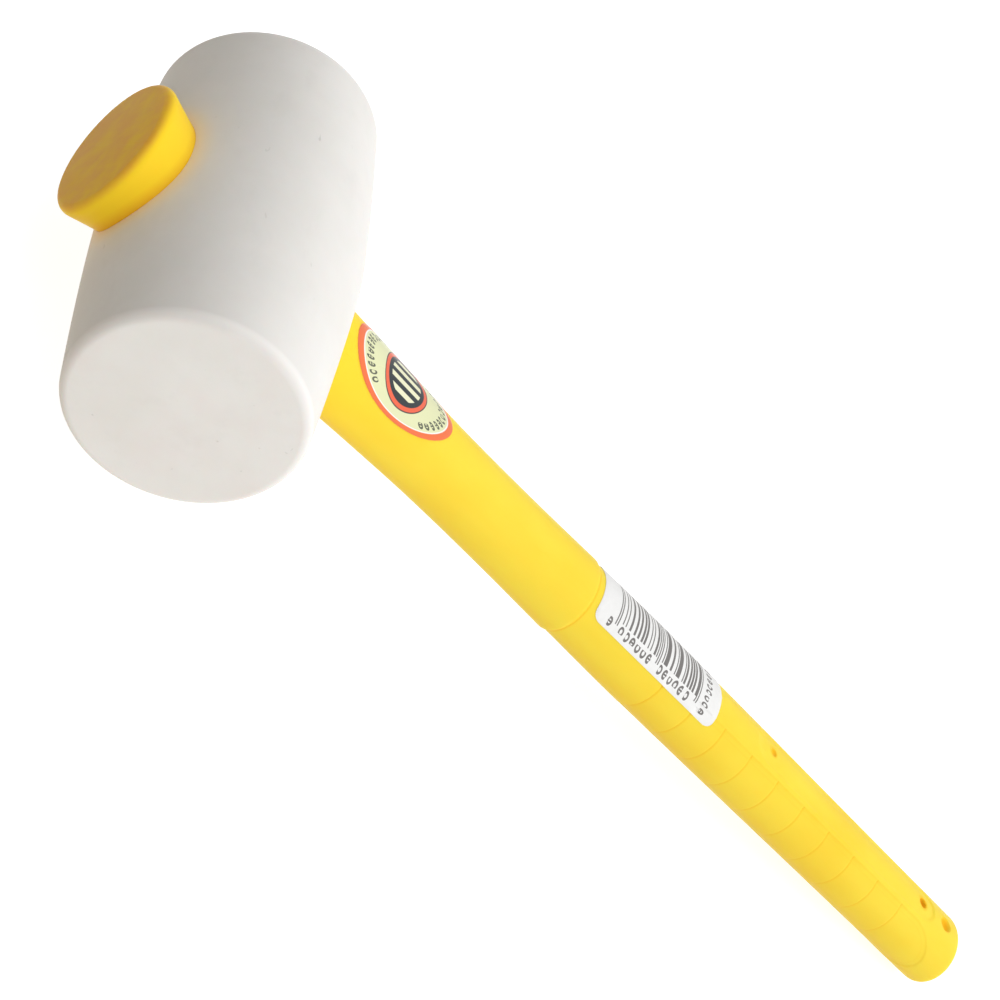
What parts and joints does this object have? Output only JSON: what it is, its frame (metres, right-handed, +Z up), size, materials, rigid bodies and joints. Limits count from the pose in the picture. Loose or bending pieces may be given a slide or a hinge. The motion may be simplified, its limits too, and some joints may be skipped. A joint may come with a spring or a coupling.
{
  "type": "rubber mallet",
  "caption": "Mallet with a barrel-shaped white rubber head on a yellow moulded handle with a flared top and a finger-scalloped grip.",
  "frame": {"origin": "bottom centre of the bounding box: the floor point under the middle of the mallet as it lies on its side", "axes": "+Z up; +X along the floor from the head toward the butt of the handle; +Y through the head from one striking face to the other"},
  "size_m": [0.3628, 0.112, 0.065],
  "materials": {
    "head_rubber": "smooth matt moulded rubber, faintly smudged",
    "handle_plastic": "satin moulded plastic",
    "core_plastic": "plain filled plastic",
    "badge_film": "printed sticker film",
    "label_paper": "printed white paper label"
  },
  "bodies": {
    "handle_body": {"handle": "handle_plastic", "handle_core": "core_plastic", "badge_sticker": "badge_film", "barcode_label": "label_paper"},
    "head_body": {"rubber_head": "head_rubber"}
  },
  "joints": [
    {"name": "head_slide", "type": "slide", "parent": "handle_body", "child": "head_body", "axis": [0.9976, 0, -0.0687], "range_m": [0, 0.36]}
  ]
}
